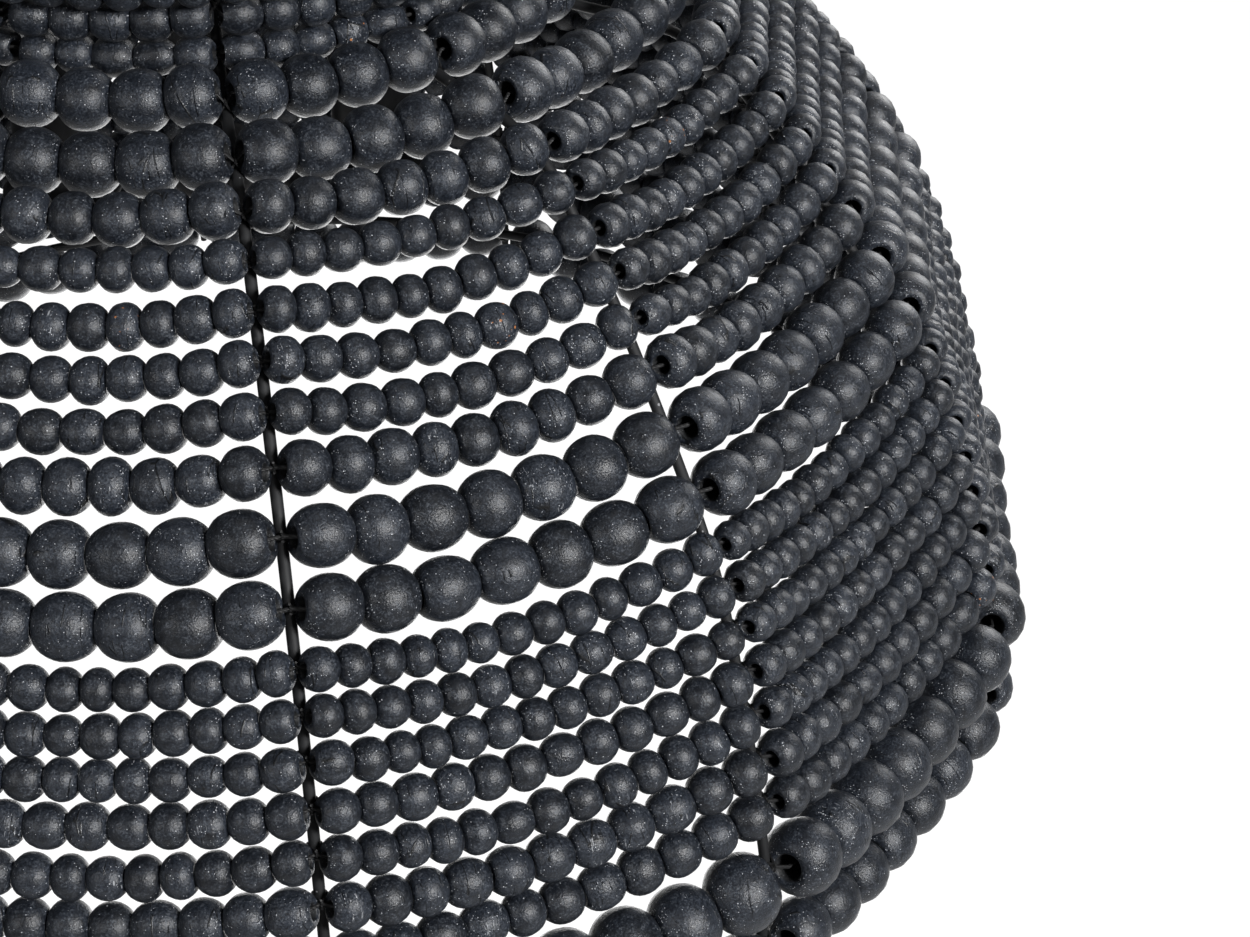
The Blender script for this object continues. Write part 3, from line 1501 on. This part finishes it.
    def socket(self, lamp: int, place: np.ndarray) -> bpy.types.Object:
        """Turn a lamp's socket.

        Args:
            lamp: The lamp's number.
            place: The foot of its axis.

        Returns:
            The socket.
        """
        low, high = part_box(f"socket_{lamp}")
        radius, tall = (high.x - low.x) / 2, high.z - low.z
        waist = radius * 0.93
        bore = thread(-tall + 1 * MM, -self.socket_floor, self.socket_bore + 0.35 * MM, 2.5 * MM, 0.35 * MM)
        draft = Draft()
        draft.turn([(0, 0), (radius * 0.94, 0), (radius, 1 * MM), (radius, tall * 0.28), (waist, tall * 0.3),
                    (waist, tall * 0.42), (radius, tall * 0.44), (radius, tall - 1 * MM), (radius * 0.95, tall),
                    (self.socket_bore + 0.8 * MM, tall), *[(out, -up) for out, up in bore], (0, self.socket_floor)],
                   place + raised(low.z))
        return draft.piece(f"lamp_socket_{lamp}", GlazedPorcelain(), Slot.PORCELAIN, f"socket_{lamp}")

    def sleeve(self, lamp: int, place: np.ndarray) -> bpy.types.Object:
        """Draw a lamp's candle sleeve.

        Args:
            lamp: The lamp's number.
            place: The foot of its axis.

        Returns:
            The sleeve.
        """
        low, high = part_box(f"candle_sleeve_{lamp}")
        radius, tall = (high.x - low.x) / 2, high.z - low.z
        bore = radius - self.sleeve_wall
        rim = [(bore, 0), (radius, 0), (radius, tall - 1.2 * MM), (radius - 0.5 * MM, tall), (bore, tall - 0.4 * MM)]
        draft = Draft()
        draft.turn(eased(rim, 0.35 * MM, True), place + raised(low.z), 64, True)
        return draft.piece(f"sleeve_{lamp}", SatinSleeve(), Slot.SLEEVE, f"candle_sleeve_{lamp}")

    def bulb(self, lamp: int, place: np.ndarray) -> list[bpy.types.Object]:
        """Blow a candle bulb and give it its cap and filament.

        Args:
            lamp: The lamp's number.
            place: The foot of its axis.

        Returns:
            The glass, the cap and the filament.
        """
        low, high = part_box(f"bulb_{lamp}")
        radius, cap_radius = (high.x - low.x) / 2, self.socket_bore - 0.3 * MM
        foot, tall = low.z + self.cap_height, high.z - low.z - self.cap_height
        glass, cap, wire = Draft(), Draft(), Draft()
        outside = scaled(np.minimum(smooth(self.FLAME, 5), 1.0), radius, tall, foot)
        inside = [(max(out - self.glass_wall, AXIS_RADIUS), up - (self.glass_wall if up > high.z - 2 * MM else 0))
                  for out, up in outside[::-1]]
        glass.turn([*outside, *inside], place, closed=True)
        screw = thread(low.z + 4.5 * MM, foot - 6 * MM, cap_radius, 2.5 * MM, 0.5 * MM)
        cap.turn([(0, low.z), (2.6 * MM, low.z + 0.3 * MM), (2.9 * MM, low.z + 1.6 * MM),
                  (5.2 * MM, low.z + 3.6 * MM), *screw, (cap_radius, foot - 4 * MM), (cap_radius, foot - 0.3 * MM),
                  (0.36 * radius, foot + 0.6 * MM), (0, foot + 0.6 * MM)], place, 40)
        wire.turn([(0, foot), (2.4 * MM, foot + 1 * MM), (1.9 * MM, foot + 0.22 * tall),
                   (0.9 * MM, foot + 0.3 * tall), (0, foot + 0.31 * tall)], place, 16)
        for turn in angles(4) + 0.4:
            out = np.array([math.cos(turn), math.sin(turn), 0.0])
            path = [place + out * reach + raised(foot + share * tall) for reach, share in self.FILAMENT]
            wire.rod(smooth(path, 6), self.wire_radius, 6)
        tungsten = BrightMetal("lamp_filament", (0.55, 0.40, 0.20, 1), (0.35, 0.24, 0.10, 1), 0.4)
        return [glass.piece(f"bulb_{lamp}_glass", ClearGlass(), Slot.BULB, f"bulb_{lamp}"),
                cap.piece(f"bulb_{lamp}_cap", BrightMetal(), Slot.BULB),
                wire.piece(f"bulb_{lamp}_filament", tungsten, Slot.BULB)]

    def build(self) -> list[bpy.types.Object]:
        """Make the spider, the arms and the lamps."""
        pieces = [self.spider(), self.arms()]
        for number, place in enumerate(self.places(), 1):
            pieces += [self.socket(number, place), self.sleeve(number, place), *self.bulb(number, place)]
        return pieces


@dataclass(frozen=True)
class Softbox:
    """A square light: its name, its middle, its side and its power in watts."""

    name: str
    at: tuple
    size: float
    power: float


SOFTBOXES = (
    Softbox("right_softbox", (0.92, -1.60, 0.46), 0.42, 46),
    Softbox("left_softbox", (-1.5, -1.2, 0.4), 0.35, 8),
    Softbox("back_softbox", (1.35, 1.15, 0.1), 0.9, 19),
    Softbox("under_softbox", (0.2, 0.5, -1.1), 0.9, 8),
    Softbox("top_softbox", (0.2, 0.3, 1.7), 1.2, 5),
)


@dataclass
class Studio:
    """The camera, the lights, the floor and the white background.

    Attributes:
        camera_at: The camera's place.
        pitch_down: How many degrees it looks down.
        yaw: How many degrees it looks to the right.
        lens: Its focal length in millimetres.
        sensor: The width of its sensor in millimetres.
        nearest: How near it still sees.
        aim: The point that the softboxes face.
        floor_drop: How far the floor lies below the lowest beads.
        floor_half: Half its side.
        floor_grey: Its tone as a surface.
        floor_glow: How bright it is to the eye.
        floor_share: How much of what is seen of it is that glow.
        floor_mirror: How much of the glow shows in reflections.
        world_light: The background's level as a light, next to 1 to the eye.
        world_mirror: How much of its whiteness shows in reflections.
    """

    camera_at: tuple = (-27.9 * MM, -835.5 * MM, 5.3 * MM)
    pitch_down: float = 33.13
    yaw: float = 12.0
    lens: float = 73.27
    sensor: float = 36.0
    nearest: float = 0.02
    aim: tuple = (0, 0, -0.42)
    floor_drop: float = 0.62
    floor_half: float = 9.0
    floor_grey: float = 0.56
    floor_glow: float = 1.17
    floor_share: float = 0.85
    floor_mirror: float = 0.17
    world_light: float = 0.04
    world_mirror: float = 0.10

    def camera(self) -> None:
        """Stand the camera where the photograph was taken from."""
        data = bpy.data.cameras.new("camera")
        data.lens, data.sensor_width, data.clip_start = self.lens, self.sensor, self.nearest
        camera = place_object("camera", data)
        camera.location = self.camera_at
        camera.rotation_euler = (math.radians(90 - self.pitch_down), 0, math.radians(-self.yaw))
        bpy.context.scene.camera = camera

    def hang(self, softbox: Softbox) -> None:
        """Hang a softbox, unseen by the camera.

        Args:
            softbox: The softbox.
        """
        data = bpy.data.lights.new(softbox.name, "AREA")
        data.shape, data.size, data.energy = "SQUARE", softbox.size, softbox.power
        light = place_object(softbox.name, data)
        light.visible_camera = False
        light.location = softbox.at
        light.rotation_euler = (Vector(self.aim) - Vector(softbox.at)).to_track_quat("-Z", "Y").to_euler()

    def seen(self, shader: Shader, mirror: float) -> bpy.types.NodeSocket:
        """Tell sight from light.

        Args:
            shader: The material in the making.
            mirror: What a reflection counts as.

        Returns:
            The socket of a value that is 1 to the eye, also through glass, and 0 as a light.
        """
        rays = shader.add("LightPath")
        eye = shader.math("MAXIMUM", rays.outputs["Is Camera Ray"], rays.outputs["Is Transmission Ray"])
        return shader.math("MAXIMUM", eye, shader.math("MULTIPLY", rays.outputs["Is Glossy Ray"], mirror))

    def floor(self) -> None:
        """Lay the pale floor well below the shade."""
        height, half = CAD_BOUNDS[0][2] - self.floor_drop, self.floor_half
        mesh = bpy.data.meshes.new("floor")
        mesh.from_pydata([(-half, -half, height), (half, -half, height), (half, half, height), (-half, half, height)],
                         [], [(0, 1, 2, 3)])
        material = bpy.data.materials.new("pale_floor")
        material.use_nodes = True
        shader = Shader(material.node_tree)
        plain = shader.add("BsdfDiffuse", {"Color": (self.floor_grey, self.floor_grey, self.floor_grey, 1)})
        white = shader.add("Emission", {"Color": (1, 1, 1, 1), "Strength": self.floor_glow})
        share = shader.math("MULTIPLY", self.seen(shader, self.floor_mirror), self.floor_share)
        mixed = shader.add("MixShader", {0: share, 1: plain.outputs[0], 2: white.outputs[0]})
        shader.add("OutputMaterial", {"Surface": mixed.outputs[0]})
        mesh.materials.append(material)
        place_object("floor", mesh)

    def world(self) -> None:
        """Make the background white to the eye, and softer in reflections and as a light."""
        world = bpy.data.worlds.new("studio")
        bpy.context.scene.world = world
        world.use_nodes = True
        shader = Shader(world.node_tree)
        level = shader.ramp(self.seen(shader, self.world_mirror), 0.0, 1.0, self.world_light, 1.0)
        back = shader.add("Background", {"Color": (1, 1, 1, 1), "Strength": level})
        shader.add("OutputWorld", {"Surface": back.outputs[0]})

    def build(self) -> None:
        """Set up the studio."""
        bpy.context.scene.view_settings.view_transform = "Standard"
        self.camera()
        for softbox in SOFTBOXES:
            self.hang(softbox)
        self.floor()
        self.world()


def dress_ceiling_bar() -> None:
    """Give the ceiling bar its coat on the CAD solid."""
    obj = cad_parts["ceiling_bar"]
    obj.data.materials.clear()
    obj.data.materials.append(PowderCoat().material())


def report(group: str, pieces: list[bpy.types.Object]) -> None:
    """Log each piece with its face count."""
    for piece in pieces:
        LOG.info("%s: %s, %d faces", group, piece.name, len(piece.data.polygons))


def main() -> None:
    """Build the chandelier and its studio."""
    logging.basicConfig(level=logging.INFO, format="%(message)s")
    Studio().build()
    strands = Strands()
    cage = Cage(strands)
    runs = cage.line()[1]
    for row in ROWS:
        report("row", strands.build(row, runs[row.node]))
    report("cage", cage.build())
    report("suspension", Suspension().build())
    report("lamps", LampCluster().build())
    dress_ceiling_bar()


if __name__ == "__main__":
    main()
